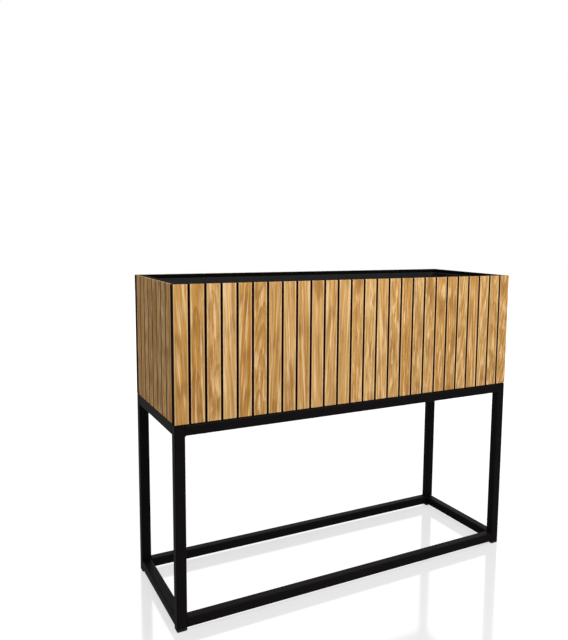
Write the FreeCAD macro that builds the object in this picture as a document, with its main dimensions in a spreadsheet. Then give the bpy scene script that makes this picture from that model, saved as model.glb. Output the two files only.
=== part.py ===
import FreeCAD, Part
import math
import os
import re
import Sketcher

# Plant stand: an oak-slatted planter box on a welded square-tube stand, with a lift-out liner.
# Millimetres. The origin is on the floor under the middle of the stand, X runs along its
# length, Y towards its back and Z up.

# Sizes that can be set by themselves.
DRIVING_SIZES = [
    ("stand_length", 800.0, "overall length of stand and box"),
    ("stand_depth", 280.0, "overall depth of stand and box"),
    ("leg_length", 392.0, "tube leg, without its glide"),
    ("tube_size", 20.0, "outside of the square tube"),
    ("tube_wall", 1.5, "wall of the square tube"),
    ("tube_corner_radius", 2.5, "outside corner of the square tube"),
    ("tube_least_radius", 0.3, "least inside corner of the square tube"),
    ("weld_size", 3.0, "leg of a fillet weld bead"),
    ("glide_height", 6.0, "part of the glide that shows under the leg"),
    ("glide_edge_radius", 1.8, "rounding of the glide where it meets the floor"),
    ("glide_plug_length", 14.0, "part of the glide inside the leg"),
    ("glide_plug_wall", 2.5, "wall of the hollow plug"),
    ("glide_plug_fit", 0.15, "clearance of the plug to each tube wall"),
    ("box_height", 258.0, "height of the box boards"),
    ("board_thickness", 12.0, "front, back and end boards"),
    ("floor_thickness", 12.0, "floor board"),
    ("floor_fit", 0.5, "clearance of the floor to each box board"),
    ("slat_count", 26, "slats along the front, and along the back"),
    ("slat_gap", 4.0, "groove between two slats"),
    ("slat_thickness", 4.0, "oak slat"),
    ("slat_chamfer", 0.6, "broken edges of a slat's show face"),
    ("slat_foot_gap", 2.0, "shadow gap between the slats and the stand"),
    ("screw_shank", 3.5, "diameter of the box screws"),
    ("screw_head", 7.0, "diameter of their countersunk heads"),
    ("screw_length", 35.0, "length of the box screws"),
    ("screw_fit", 0.1, "radial room around every screw"),
    ("screw_tip_room", 1.0, "hole depth left in front of a screw tip"),
    ("corner_screw_inset", 45.0, "first and last corner screw from the board's ends"),
    ("corner_screw_count", 3, "screws in each box corner"),
    ("stand_screw_shank", 4.0, "diameter of the screws that hold the box on the stand"),
    ("stand_screw_head", 8.0, "diameter of their pan heads"),
    ("stand_screw_head_height", 2.6, "height of their pan heads"),
    ("stand_screw_length", 45.0, "length under the head"),
    ("stand_screw_inset", 60.0, "first and last stand screw from the stand's ends"),
    ("stand_screw_count", 4, "stand screws in each long rail"),
    ("liner_gap", 2.0, "room between the liner's rim and the box boards"),
    ("liner_rim_width", 5.0, "how far the rim stands out from the liner's wall"),
    ("liner_rim_thickness", 3.0, "thickness of the rim"),
    ("liner_wall", 2.5, "wall and floor of the liner"),
    ("liner_drop", 8.0, "rim below the top of the box"),
    ("liner_draft", 1.0, "taper of the liner's walls in degrees"),
    ("liner_corner_radius", 24.0, "upright corners of the liner's rim"),
    ("liner_floor_radius", 6.0, "rounding between the liner's floor and walls, inside"),
]

# Sizes that follow from the ones above.
DERIVED_SIZES = [
    ("tube_inside", "tube_size - 2 * tube_wall", "inside of the square tube"),
    ("tube_inside_radius", "max(tube_corner_radius - tube_wall; tube_least_radius)",
     "inside corner of the tube"),
    ("tube_flat", "tube_size - 2 * tube_corner_radius", "flat part of a tube's side"),
    ("stand_height", "glide_height + leg_length", "floor to the top of the stand"),
    ("plug_size", "tube_inside - 2 * glide_plug_fit", "outside of the glide's plug"),
    ("plug_hollow", "plug_size - 2 * glide_plug_wall", "inside of the glide's plug"),
    ("glide_rounding", "min(glide_edge_radius; 0.8 * tube_corner_radius)", "rounding that fits"),
    ("slat_pitch", "(stand_length + slat_gap) / slat_count", "slat to slat"),
    ("slat_width", "slat_pitch - slat_gap", "oak slat"),
    ("slat_height", "box_height - slat_foot_gap", "length of a slat"),
    ("wall_thickness", "slat_thickness + board_thickness", "slat and board together"),
    ("end_width", "stand_depth - 2 * wall_thickness", "end board between front and back"),
    ("end_slat_count", "floor((end_width + slat_gap) / slat_pitch)", "slats on an end"),
    ("end_slat_width", "end_width - (end_slat_count - 1) * slat_pitch",
     "front slat of an end, which fills up the row"),
    ("board_line_x", "stand_length / 2 - slat_thickness - board_thickness / 2",
     "middle of an end board"),
    ("board_line_y", "stand_depth / 2 - slat_thickness - board_thickness / 2",
     "middle of the front or back board"),
    ("stand_screw_pitch", "(stand_length - 2 * stand_screw_inset) / (stand_screw_count - 1)",
     "stand screw to stand screw"),
    ("corner_screw_pitch", "(box_height - 2 * corner_screw_inset) / (corner_screw_count - 1)",
     "corner screw to corner screw"),
    ("screw_bite", "screw_length - board_thickness", "screw in the second board"),
    ("liner_height", "box_height - floor_thickness - liner_drop", "height of the liner"),
    ("rim_length", "stand_length - 2 * wall_thickness - 2 * liner_gap", "liner's rim along X"),
    ("rim_depth", "end_width - 2 * liner_gap", "liner's rim along Y"),
    ("liner_length", "rim_length - 2 * liner_rim_width", "liner's wall along X at the rim"),
    ("liner_depth", "rim_depth - 2 * liner_rim_width", "liner's wall along Y at the rim"),
    ("liner_radius", "liner_corner_radius - liner_rim_width", "wall's corner at the rim"),
    ("liner_inside_length", "liner_length - 2 * liner_wall", "hollow along X at the rim"),
    ("liner_inside_depth", "liner_depth - 2 * liner_wall", "hollow along Y at the rim"),
    ("liner_inside_radius", "liner_radius - liner_wall", "hollow's corner at the rim"),
]

ALIASES = [row[0] for row in DRIVING_SIZES + DERIVED_SIZES]

# An outline is first drawn this large, before its sizes are bound to the sheet.
DRAWN_RADIUS = 10.0

# Edges that are chosen by their height may be this far from it.
LEVEL_TOLERANCE = 1e-4

# A side's sign in an expression: left and front are negative.
SIDES_X = {"left": "-1 * ", "right": ""}
SIDES_Y = {"front": "-1 * ", "back": ""}


def bound(text):
    """Turn the size names in an expression into cells of the sheet."""
    def cell(match):
        word = match.group()
        return "Sizes." + word if word in ALIASES else word
    return re.sub(r"[a-z_]+", cell, text)


def fill_sheet(doc):
    sheet = doc.addObject("Spreadsheet::Sheet", "Sizes")
    rows = [(alias, str(value), meaning) for alias, value, meaning in DRIVING_SIZES]
    rows += [(alias, "=" + formula, meaning) for alias, formula, meaning in DERIVED_SIZES]
    for number, (alias, content, meaning) in enumerate(rows, start=1):
        sheet.set(f"A{number}", meaning)
        sheet.set(f"B{number}", content)
        sheet.setAlias(f"B{number}", alias)
    doc.recompute()
    return sheet


class SubPart:
    """One body of the document, with the features that this object's pieces need."""

    def __init__(self, doc, sheet, label, at=("0", "0", "0"), turn=0.0):
        self.doc = doc
        self.sheet = sheet
        self.body = doc.addObject("PartDesign::Body", label)
        self.body.Label = label
        upright = FreeCAD.Vector(0, 0, 1)
        self.body.Placement = FreeCAD.Placement(FreeCAD.Vector(), FreeCAD.Rotation(upright, turn))
        for axis, text in zip("xyz", at):
            self.body.setExpression(f".Placement.Base.{axis}", bound(text))

    def origin_part(self, role):
        return next(part for part in self.body.Origin.OriginFeatures if part.Role == role)

    def sketch(self, name, role, offset=("0", "0", "0")):
        """Sketch on an origin plane, moved by an offset in the sketch's own directions."""
        sketch = self.body.newObject("Sketcher::SketchObject", name)
        sketch.AttachmentSupport = [(self.origin_part(role), "")]
        sketch.MapMode = "FlatFace"
        for axis, text in zip("xyz", offset):
            sketch.setExpression(f".AttachmentOffset.Base.{axis}", bound(text))
        return sketch

    def polygon(self, sketch, corners):
        """Closed outline, drawn as a regular one, then each corner bound to a pair of expressions."""
        first = sketch.GeometryCount
        total = len(corners)
        turn = FreeCAD.Rotation(FreeCAD.Vector(0, 0, 1), 360.0 / total)
        spots = [FreeCAD.Vector(DRAWN_RADIUS, 0, 0)]
        for _ in range(total):
            spots.append(turn.multVec(spots[-1]))
        for start, end in zip(spots[:-1], spots[1:]):
            sketch.addGeometry(Part.LineSegment(start, end), False)
        for index, (x, y) in enumerate(corners):
            line = first + index
            after = first + (index + 1) % total
            sketch.addConstraint(Sketcher.Constraint("Coincident", line, 2, after, 1))
            for kind, text, value in (("DistanceX", x, spots[index].x), ("DistanceY", y, spots[index].y)):
                number = sketch.addConstraint(Sketcher.Constraint(kind, -1, 1, line, 1, value))
                sketch.setExpression(f"Constraints[{number}]", bound(text))

    def rounded_rectangle(self, sketch, width, height, radius):
        """Outline about the sketch's origin; width, height and radius name cells of the sheet."""
        first = sketch.GeometryCount
        corner = getattr(self.sheet, radius)
        x_end = getattr(self.sheet, width) / 2
        y_end = getattr(self.sheet, height) / 2
        x_mid = x_end - corner
        y_mid = y_end - corner
        sides = [((-x_mid, -y_end), (x_mid, -y_end)), ((x_end, -y_mid), (x_end, y_mid)),
                 ((x_mid, y_end), (-x_mid, y_end)), ((-x_end, y_mid), (-x_end, -y_mid))]
        middles = [(x_mid, -y_mid), (x_mid, y_mid), (-x_mid, y_mid), (-x_mid, -y_mid)]
        quarter = math.pi / 2
        for index, (side, middle) in enumerate(zip(sides, middles)):
            start, end = (FreeCAD.Vector(*point, 0) for point in side)
            sketch.addGeometry(Part.LineSegment(start, end), False)
            circle = Part.Circle(FreeCAD.Vector(*middle, 0), FreeCAD.Vector(0, 0, 1), corner)
            arc = Part.ArcOfCircle(circle, (index - 1) * quarter, index * quarter)
            sketch.addGeometry(arc, False)
        for index in range(8):
            after = first + (index + 1) % 8
            sketch.addConstraint(Sketcher.Constraint("Tangent", first + index, 2, after, 1))
        for index in (0, 4):
            sketch.addConstraint(Sketcher.Constraint("Horizontal", first + index))
            sketch.addConstraint(Sketcher.Constraint("Vertical", first + index + 2))
        for index in (1, 3, 5):
            sketch.addConstraint(Sketcher.Constraint("Equal", first + index, first + index + 2))
        sketch.addConstraint(Sketcher.Constraint("Symmetric", first, 1, first + 4, 1, -1, 1))
        sized = [(Sketcher.Constraint("Radius", first + 1, corner), radius),
                 (Sketcher.Constraint("DistanceX", first + 6, 1, first + 2, 1, 2 * x_end), width),
                 (Sketcher.Constraint("DistanceY", first, 1, first + 4, 1, 2 * y_end), height)]
        for constraint, name in sized:
            number = sketch.addConstraint(constraint)
            sketch.setExpression(f"Constraints[{number}]", bound(name))

    def circle(self, sketch, x, y, diameter):
        """Circle drawn beside the sketch's origin, then bound to its place and diameter."""
        middle = FreeCAD.Vector(DRAWN_RADIUS, DRAWN_RADIUS, 0)
        drawn = Part.Circle(middle, FreeCAD.Vector(0, 0, 1), DRAWN_RADIUS)
        edge = sketch.addGeometry(drawn, False)
        sized = [(Sketcher.Constraint("DistanceX", -1, 1, edge, 3, middle.x), x),
                 (Sketcher.Constraint("DistanceY", -1, 1, edge, 3, middle.y), y),
                 (Sketcher.Constraint("Diameter", edge, 2 * DRAWN_RADIUS), diameter)]
        for constraint, text in sized:
            number = sketch.addConstraint(constraint)
            sketch.setExpression(f"Constraints[{number}]", bound(text))

    def feature(self, kind, name, sketch, reverse=False, **expressions):
        """Pad, Pocket or Revolution of a sketch, with its sizes bound to expressions."""
        feature = self.body.newObject(f"PartDesign::{kind}", name)
        feature.Profile = sketch
        feature.Reversed = reverse
        for prop, text in expressions.items():
            feature.setExpression(prop, bound(text))
        return feature

    def turned(self, name, sketch):
        """Full turn of a half profile about the sketch's upright axis."""
        feature = self.feature("Revolution", name, sketch)
        feature.ReferenceAxis = (sketch, ["V_Axis"])
        return feature

    def row(self, name, feature, direction, count, pitch):
        pattern = self.body.newObject("PartDesign::LinearPattern", name)
        pattern.Originals = [feature]
        pattern.Direction = (self.origin_part(direction), [""])
        pattern.Mode = "Spacing"
        pattern.setExpression("Occurrences", bound(count))
        pattern.setExpression("Offset", bound(pitch))
        self.body.Tip = pattern
        return pattern

    def round_edges(self, name, feature, height, radius):
        """Fillet of a feature's edges that lie level at a height above the body's origin plane."""
        self.doc.recompute()
        level = [f"Edge{number}" for number, edge in enumerate(feature.Shape.Edges, start=1)
                 if all(abs(vertex.Z - height) < LEVEL_TOLERANCE for vertex in edge.Vertexes)]
        fillet = self.body.newObject("PartDesign::Fillet", name)
        fillet.Base = (feature, level)
        fillet.setExpression("Radius", bound(radius))
        return fillet

    def mirror(self, name, role):
        """Everything made so far, and its mirror image in an origin plane."""
        self.doc.recompute()
        mirrored = self.body.newObject("PartDesign::Mirrored", name)
        mirrored.TransformMode = "Whole shape"
        mirrored.MirrorPlane = (self.origin_part(role), [""])
        self.body.Tip = mirrored
        return mirrored


def make_tube(doc, sheet, label, role, length, at):
    """Square tube about its own middle, along the normal of an origin plane."""
    tube = SubPart(doc, sheet, label, at)
    profile = tube.sketch("Section", role)
    tube.rounded_rectangle(profile, "tube_size", "tube_size", "tube_corner_radius")
    tube.rounded_rectangle(profile, "tube_inside", "tube_inside", "tube_inside_radius")
    tube.feature("Pad", "Length", profile, Length=length).Midplane = True
    return tube


def stand_screw_x(steps):
    """Place along X that lies a number of stand screw steps from the first stand screw."""
    return f"stand_screw_inset - stand_length / 2 + stand_screw_pitch * {steps}"


def make_stand(doc, sheet):
    """Legs and rails: the rails run between the legs and are flush with their ends."""
    leg_x = "(stand_length - tube_size) / 2"
    leg_y = "(stand_depth - tube_size) / 2"
    levels = {"bottom": "glide_height + tube_size / 2", "top": "stand_height - tube_size / 2"}
    for side_y, sign_y in SIDES_Y.items():
        for side_x, sign_x in SIDES_X.items():
            at = (sign_x + leg_x, sign_y + leg_y, "glide_height + leg_length / 2")
            make_tube(doc, sheet, f"leg_{side_y}_{side_x}", "XY_Plane", "leg_length", at)
    for level, height in levels.items():
        for side, sign in SIDES_Y.items():
            at = ("0", sign + leg_y, height)
            label = f"{level}_rail_{side}"
            rail = make_tube(doc, sheet, label, "YZ_Plane", "stand_length - 2 * tube_size", at)
            if level == "top":
                drill_rail(sheet, rail, sign)
        for side, sign in SIDES_X.items():
            at = (sign + leg_x, "0", height)
            label = f"{level}_rail_{side}"
            make_tube(doc, sheet, label, "XZ_Plane", "stand_depth - 2 * tube_size", at)


def drill_rail(sheet, rail, sign):
    """Holes for the stand screws through both walls of a long top rail, under the box board."""
    holes = rail.sketch("ScrewHoles", "XY_Plane")
    across = f"{sign}(board_line_y - (stand_depth - tube_size) / 2)"
    for index in range(sheet.stand_screw_count):
        rail.circle(holes, stand_screw_x(index), across, "stand_screw_shank + 2 * screw_fit")
    drilled = rail.feature("Pocket", "ScrewHolesCut", holes, Length="2 * tube_size")
    drilled.Midplane = True


def make_weld_beads(doc, sheet):
    """Fillet weld beads in the inner corners where two rails meet a leg, top and bottom."""
    beads = SubPart(doc, sheet, "weld_beads", ("0", "0", "glide_height + leg_length / 2"))
    inner_x = "tube_size - stand_length / 2"
    inner_y = "tube_size - stand_depth / 2"
    under = "leg_length / 2 - tube_size"
    middle_x = "(tube_size - stand_length) / 2"
    middle_y = "(stand_depth - tube_size) / 2"
    long_rail = beads.sketch("LongRailBead", "XZ_Plane", ("0", "0", middle_y))
    beads.polygon(long_rail, [(inner_x, under), (inner_x, f"{under} - weld_size"),
                              (f"{inner_x} + weld_size", under)])
    short_rail = beads.sketch("ShortRailBead", "YZ_Plane", ("0", "0", middle_x))
    beads.polygon(short_rail, [(inner_y, under), (inner_y, f"{under} - weld_size"),
                               (f"{inner_y} + weld_size", under)])
    upright = beads.sketch("UprightBead", "XY_Plane", ("0", "0", "(leg_length - tube_size) / 2"))
    beads.polygon(upright, [(inner_x, inner_y), (f"{inner_x} + weld_size", inner_y),
                            (inner_x, f"{inner_y} + weld_size")])
    for profile in (long_rail, short_rail, upright):
        beads.feature("Pad", profile.Name + "Length", profile, Length="tube_flat").Midplane = True
    beads.mirror("OtherEnd", "YZ_Plane")
    beads.mirror("OtherSide", "XZ_Plane")
    beads.mirror("OtherLevel", "XY_Plane")


def make_glides(doc, sheet):
    """Plastic glides: a pad under each leg with a hollow plug inside the tube."""
    for side_y, sign_y in SIDES_Y.items():
        for side_x, sign_x in SIDES_X.items():
            at = (f"{sign_x}(stand_length - tube_size) / 2", f"{sign_y}(stand_depth - tube_size) / 2", "0")
            glide = SubPart(doc, sheet, f"foot_glide_{side_y}_{side_x}", at)
            outline = glide.sketch("PadOutline", "XY_Plane")
            glide.rounded_rectangle(outline, "tube_size", "tube_size", "tube_corner_radius")
            pad = glide.feature("Pad", "FloorPad", outline, Length="glide_height")
            glide.round_edges("FloorRounding", pad, 0.0, "glide_rounding")
            plug = glide.sketch("PlugSection", "XY_Plane", ("0", "0", "glide_height"))
            glide.rounded_rectangle(plug, "plug_size", "plug_size", "tube_inside_radius")
            glide.feature("Pad", "Plug", plug, Length="glide_plug_length")
            hollow = glide.sketch("PlugHollow", "XY_Plane", ("0", "0", "glide_height"))
            glide.rounded_rectangle(hollow, "plug_hollow", "plug_hollow", "tube_inside_radius")
            glide.feature("Pocket", "PlugHollowCut", hollow, reverse=True, Length="glide_plug_length")


def make_long_boards(doc, sheet):
    """Front and back boards: full length, their ends show at the box's corners."""
    for side, turn in (("front", 0.0), ("back", 180.0)):
        at = ("0", f"{SIDES_Y[side]}board_line_y", "stand_height")
        board = SubPart(doc, sheet, f"{side}_panel", at, turn)
        outline = board.sketch("Outline", "XZ_Plane")
        board.polygon(outline, [("-stand_length / 2", "0"), ("stand_length / 2", "0"),
                                ("stand_length / 2", "box_height"), ("-stand_length / 2", "box_height")])
        board.feature("Pad", "Thickness", outline, Length="board_thickness").Midplane = True
        heads = board.sketch("BoxScrewPlaces", "XZ_Plane", ("0", "0", "board_thickness / 2"))
        for x, z in box_screw_places(sheet):
            board.circle(heads, x, z, "screw_shank + 2 * screw_fit")
        countersink(doc, board, heads)
        stand_holes = board.sketch("StandScrewPlaces", "XY_Plane")
        for index in range(sheet.stand_screw_count):
            board.circle(stand_holes, stand_screw_x(index), "0", "stand_screw_shank + 2 * screw_fit")
        board.feature("Pocket", "StandScrewHoles", stand_holes, reverse=True,
                      Length="stand_screw_length - tube_size + screw_tip_room")


def box_screw_places(sheet):
    """Places of the box screws on a long board: up both ends, and along the floor board."""
    places = []
    for sign in ("-1 * ", ""):
        for index in range(sheet.corner_screw_count):
            places.append((f"{sign}board_line_x", f"corner_screw_inset + corner_screw_pitch * {index}"))
    for index in range(sheet.stand_screw_count - 1):
        places.append((stand_screw_x(index + 0.5), "floor_thickness / 2"))
    return places


def countersink(doc, board, sketch):
    """Countersunk holes through a board at the circles of a sketch on its outer face."""
    doc.recompute()
    hole = board.body.newObject("PartDesign::Hole", "BoxScrewHoles")
    hole.Profile = sketch
    hole.ThreadType = "None"
    hole.DepthType = "ThroughAll"
    hole.HoleCutType = "Countersink"
    hole.HoleCutCustomValues = True
    hole.HoleCutCountersinkAngle = 90.0
    hole.setExpression("Diameter", bound("screw_shank + 2 * screw_fit"))
    hole.setExpression("HoleCutDiameter", bound("screw_head + 2 * screw_fit"))


def make_end_boards(doc, sheet):
    """End boards between the front and back boards, with screw holes in their upright edges."""
    for side, sign in SIDES_X.items():
        board = SubPart(doc, sheet, f"{side}_end_panel", (f"{sign}board_line_x", "0", "stand_height"))
        outline = board.sketch("Outline", "YZ_Plane")
        board.polygon(outline, [("-end_width / 2", "0"), ("end_width / 2", "0"),
                                ("end_width / 2", "box_height"), ("-end_width / 2", "box_height")])
        board.feature("Pad", "Thickness", outline, Length="board_thickness").Midplane = True
        edge = board.sketch("EdgeHolePlaces", "XZ_Plane", ("0", "0", "end_width / 2"))
        for index in range(sheet.corner_screw_count):
            z = f"corner_screw_inset + corner_screw_pitch * {index}"
            board.circle(edge, "0", z, "screw_shank + 2 * screw_fit")
        edge_holes(board, edge)


def make_floor_board(doc, sheet):
    """Floor board inside the four box boards, with screw holes in its long edges."""
    board = SubPart(doc, sheet, "floor_panel", ("0", "0", "stand_height"))
    half_x = "stand_length / 2 - wall_thickness - floor_fit"
    half_y = "end_width / 2 - floor_fit"
    outline = board.sketch("Outline", "XY_Plane")
    board.polygon(outline, [(f"-1 * ({half_x})", f"-1 * ({half_y})"), (half_x, f"-1 * ({half_y})"),
                            (half_x, half_y), (f"-1 * ({half_x})", half_y)])
    board.feature("Pad", "Thickness", outline, Length="floor_thickness")
    edge = board.sketch("EdgeHolePlaces", "XZ_Plane", ("0", "0", half_y))
    for x, z in box_screw_places(sheet)[2 * sheet.corner_screw_count:]:
        board.circle(edge, x, z, "screw_shank + 2 * screw_fit")
    edge_holes(board, edge)


def edge_holes(board, sketch):
    """Blind holes for the box screws in a board's front edge, and the same in its back edge."""
    cut = board.feature("Pocket", "EdgeHoles", sketch, Length="screw_bite + screw_tip_room")
    other = board.body.newObject("PartDesign::Mirrored", "OtherEdgeHoles")
    other.Originals = [cut]
    other.MirrorPlane = (board.origin_part("XZ_Plane"), [""])
    board.body.Tip = other


def slat_profile(part, sketch, start, width):
    """Section of a slat seen from above: glued face at the back, show face with broken edges."""
    end = f"{start} + {width}"
    part.polygon(sketch, [(start, "0"), (start, "slat_chamfer - slat_thickness"),
                          (f"{start} + slat_chamfer", "-slat_thickness"),
                          (f"{end} - slat_chamfer", "-slat_thickness"),
                          (end, "slat_chamfer - slat_thickness"), (end, "0")])


def make_slats(doc, sheet):
    """Oak slats: one sub-part each along the front, and one row each for the other sides."""
    low = "stand_height + slat_foot_gap"
    face_y = "(stand_depth / 2 - slat_thickness)"
    face_x = "(stand_length / 2 - slat_thickness)"
    for index in range(sheet.slat_count):
        at = (f"slat_pitch * {index} - stand_length / 2", f"-1 * {face_y}", low)
        slat = SubPart(doc, sheet, f"front_slat_{index + 1:02d}", at)
        profile = slat.sketch("Section", "XY_Plane")
        slat_profile(slat, profile, "0", "slat_width")
        slat.feature("Pad", "Length", profile, Length="slat_height")
    back = SubPart(doc, sheet, "back_slats", ("stand_length / 2", face_y, low), 180.0)
    profile = back.sketch("Section", "XY_Plane")
    slat_profile(back, profile, "0", "slat_width")
    first = back.feature("Pad", "Length", profile, Length="slat_height")
    back.row("Row", first, "X_Axis", "slat_count", "slat_pitch")
    # Each end has slats of one width from its back on. The front one takes what is left of it.
    ends = (("left_end_slats", (f"-1 * {face_x}", "end_width / 2", low), -90.0,
             "end_width - end_slat_width", "0"),
            ("right_end_slats", (face_x, "-end_width / 2", low), 90.0,
             "0", "end_slat_width + slat_gap"))
    for label, at, turn, front_start, row_start in ends:
        end = SubPart(doc, sheet, label, at, turn)
        front = end.sketch("FrontSection", "XY_Plane")
        slat_profile(end, front, front_start, "end_slat_width")
        end.feature("Pad", "FrontLength", front, Length="slat_height")
        profile = end.sketch("Section", "XY_Plane")
        slat_profile(end, profile, row_start, "slat_width")
        first = end.feature("Pad", "Length", profile, Length="slat_height")
        end.row("Row", first, "X_Axis", "end_slat_count - 1", "slat_pitch")


def box_screw_profile(part, sketch):
    """Half section of a countersunk screw, its head at the sketch's origin and its tip upwards."""
    cone = "(screw_head - screw_shank) / 2"
    part.polygon(sketch, [("0", "0"), ("screw_head / 2", "0"), ("screw_shank / 2", cone),
                          ("screw_shank / 2", "screw_length - screw_shank"), ("0", "screw_length")])


def make_screws(doc, sheet):
    """Screws of the box corners, of the floor board, and of the box on the stand."""
    outer_face = "-board_line_y - board_thickness / 2"
    rows = (("corner_screws", ("-board_line_x", outer_face, "corner_screw_inset"),
             "Z_Axis", "corner_screw_count", "corner_screw_pitch"),
            ("floor_screws", (stand_screw_x(0.5), outer_face, "floor_thickness / 2"),
             "X_Axis", "stand_screw_count - 1", "stand_screw_pitch"))
    for label, offset, direction, count, pitch in rows:
        screws = SubPart(doc, sheet, label, ("0", "0", "stand_height"))
        profile = screws.sketch("HalfSection", "XY_Plane", offset)
        box_screw_profile(screws, profile)
        first = screws.turned("Screw", profile)
        screws.row("Row", first, direction, count, pitch)
        screws.mirror("OtherSide", "XZ_Plane")
        if direction == "Z_Axis":
            screws.mirror("OtherEnd", "YZ_Plane")
    screws = SubPart(doc, sheet, "stand_screws", ("0", "0", "stand_height - tube_size"))
    profile = screws.sketch("HalfSection", "XZ_Plane", (stand_screw_x(0), "0", "board_line_y"))
    shank = "stand_screw_shank / 2"
    head = "stand_screw_head / 2"
    height = "stand_screw_head_height"
    screws.polygon(profile, [("0", f"-{height}"), (f"{head} - {height} / 2", f"-{height}"),
                             (head, f"-{height} / 2"), (head, "0"), (shank, "0"),
                             (shank, "stand_screw_length - stand_screw_shank"), ("0", "stand_screw_length")])
    first = screws.turned("Screw", profile)
    screws.row("Row", first, "X_Axis", "stand_screw_count", "stand_screw_pitch")
    screws.mirror("OtherSide", "XZ_Plane")


def make_liner(doc, sheet):
    """Moulded liner that lifts out of the box: tapered walls and a rim, standing on the floor."""
    liner = SubPart(doc, sheet, "liner", ("0", "0", "stand_height + floor_thickness"))
    top = ("0", "0", "liner_height")
    outside = liner.sketch("WallOutline", "XY_Plane", top)
    liner.rounded_rectangle(outside, "liner_length", "liner_depth", "liner_radius")
    liner.feature("Pad", "Wall", outside, reverse=True, Length="liner_height", TaperAngle="-liner_draft")
    rim = liner.sketch("RimOutline", "XY_Plane", top)
    liner.rounded_rectangle(rim, "rim_length", "rim_depth", "liner_corner_radius")
    liner.feature("Pad", "Rim", rim, reverse=True, Length="liner_rim_thickness")
    inside = liner.sketch("HollowOutline", "XY_Plane", top)
    liner.rounded_rectangle(inside, "liner_inside_length", "liner_inside_depth", "liner_inside_radius")
    depth = "liner_height - liner_wall"
    hollow = liner.feature("Pocket", "Hollow", inside, Length=depth, TaperAngle="-liner_draft")
    inner = liner.round_edges("InnerFloorRounding", hollow, sheet.liner_wall, "liner_floor_radius")
    liner.round_edges("OuterFloorRounding", inner, 0.0, "liner_floor_radius + liner_wall")


def check(doc):
    """Stop if any object failed or a sub-part's shape is empty or broken."""
    failed = [f"{item.Label}: {item.State}" for item in doc.Objects
              if "Invalid" in item.State or "Error" in item.State]
    bodies = [item for item in doc.Objects if item.TypeId == "PartDesign::Body"]
    failed += [body.Label for body in bodies if body.Shape.isNull() or not body.Shape.isValid()]
    if failed:
        raise RuntimeError("failed: " + ", ".join(failed))
    return bodies


def main():
    doc = FreeCAD.newDocument("PlantStand")
    sheet = fill_sheet(doc)
    make_stand(doc, sheet)
    make_weld_beads(doc, sheet)
    make_glides(doc, sheet)
    make_long_boards(doc, sheet)
    make_end_boards(doc, sheet)
    make_floor_board(doc, sheet)
    make_slats(doc, sheet)
    make_screws(doc, sheet)
    make_liner(doc, sheet)
    doc.recompute()
    bodies = check(doc)
    os.makedirs("parts", exist_ok=True)
    for body in bodies:
        body.Shape.exportStep(f"parts/{body.Label}.step")
        box = body.Shape.BoundBox
        size = f"{box.XLength:.2f} x {box.YLength:.2f} x {box.ZLength:.2f} mm"
        print(f"{body.Label}: {len(body.Shape.Solids)} solids, {body.Shape.Volume / 1000:.2f} cm3, {size}")


main()
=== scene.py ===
"""A planter box clad in oak slats on a welded steel stand: finishes, small parts, studio light and camera.

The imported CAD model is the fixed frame. Lengths are in metres: X runs along the box, Y towards its back
and Z up from the floor.
"""

from __future__ import annotations

import logging
import math
from collections.abc import Iterable, Mapping
from dataclasses import dataclass
from enum import Enum
from functools import cache, partial
from typing import Any

import bmesh
import bpy
from bpy.types import ID, Material, Mesh, Node, NodeSocket, NodeTree, Object
from mathutils import Matrix, Vector

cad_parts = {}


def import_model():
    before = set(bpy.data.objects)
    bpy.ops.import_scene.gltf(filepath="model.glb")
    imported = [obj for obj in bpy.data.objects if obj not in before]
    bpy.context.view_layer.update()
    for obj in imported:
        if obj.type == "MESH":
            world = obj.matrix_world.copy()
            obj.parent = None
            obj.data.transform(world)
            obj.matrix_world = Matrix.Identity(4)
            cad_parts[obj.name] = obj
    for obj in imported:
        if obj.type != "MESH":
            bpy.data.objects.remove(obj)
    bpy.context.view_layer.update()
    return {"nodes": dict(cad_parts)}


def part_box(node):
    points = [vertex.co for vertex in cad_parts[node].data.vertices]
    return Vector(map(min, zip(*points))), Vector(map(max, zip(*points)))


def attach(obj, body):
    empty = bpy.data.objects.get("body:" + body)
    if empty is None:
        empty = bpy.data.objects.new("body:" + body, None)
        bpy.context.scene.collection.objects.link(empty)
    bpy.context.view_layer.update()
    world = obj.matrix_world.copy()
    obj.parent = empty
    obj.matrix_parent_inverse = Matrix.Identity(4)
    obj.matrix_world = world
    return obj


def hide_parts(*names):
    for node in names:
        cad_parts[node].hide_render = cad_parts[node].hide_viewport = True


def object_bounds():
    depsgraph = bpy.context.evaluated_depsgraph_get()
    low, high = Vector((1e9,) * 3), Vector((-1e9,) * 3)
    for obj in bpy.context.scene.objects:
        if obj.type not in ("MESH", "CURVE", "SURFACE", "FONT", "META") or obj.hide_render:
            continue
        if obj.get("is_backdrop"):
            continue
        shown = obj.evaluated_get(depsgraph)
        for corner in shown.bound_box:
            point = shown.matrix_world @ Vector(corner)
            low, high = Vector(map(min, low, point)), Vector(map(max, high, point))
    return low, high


LOG = logging.getLogger("planter")
MM = 0.001

# Inputs of a colour Mix node by number, because its names repeat for each kind of value.
MIX_FACTOR, MIX_A, MIX_B = 0, 6, 7

# Kinds of node and option sets that many trees share.
MATH, VECTOR_MATH = "ShaderNodeMath", "ShaderNodeVectorMath"
RGBA = {"data_type": "RGBA"}
VECTORS = {"data_type": "FLOAT_VECTOR"}
SMOOTHSTEP = {"interpolation_type": "SMOOTHSTEP"}

# Attributes that the slats carry for their finish: the place in the log that a point was sawn from, the
# place across, through and up the slat, from -1 to 1, and three random numbers from 0 to 1 that each slat
# has, of which the finish uses two.
LOG_PLACE = "log_place"
SLAT_PLACE = "slat_place"
SLAT_MOOD = "slat_mood"

# The attribute that tells where a screw's tip points.
TIP_WAY = "tip_way"

Colour = tuple[float, float, float, float]
Triple = tuple[float, float, float]
Nodes = Mapping[str, Object]


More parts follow.
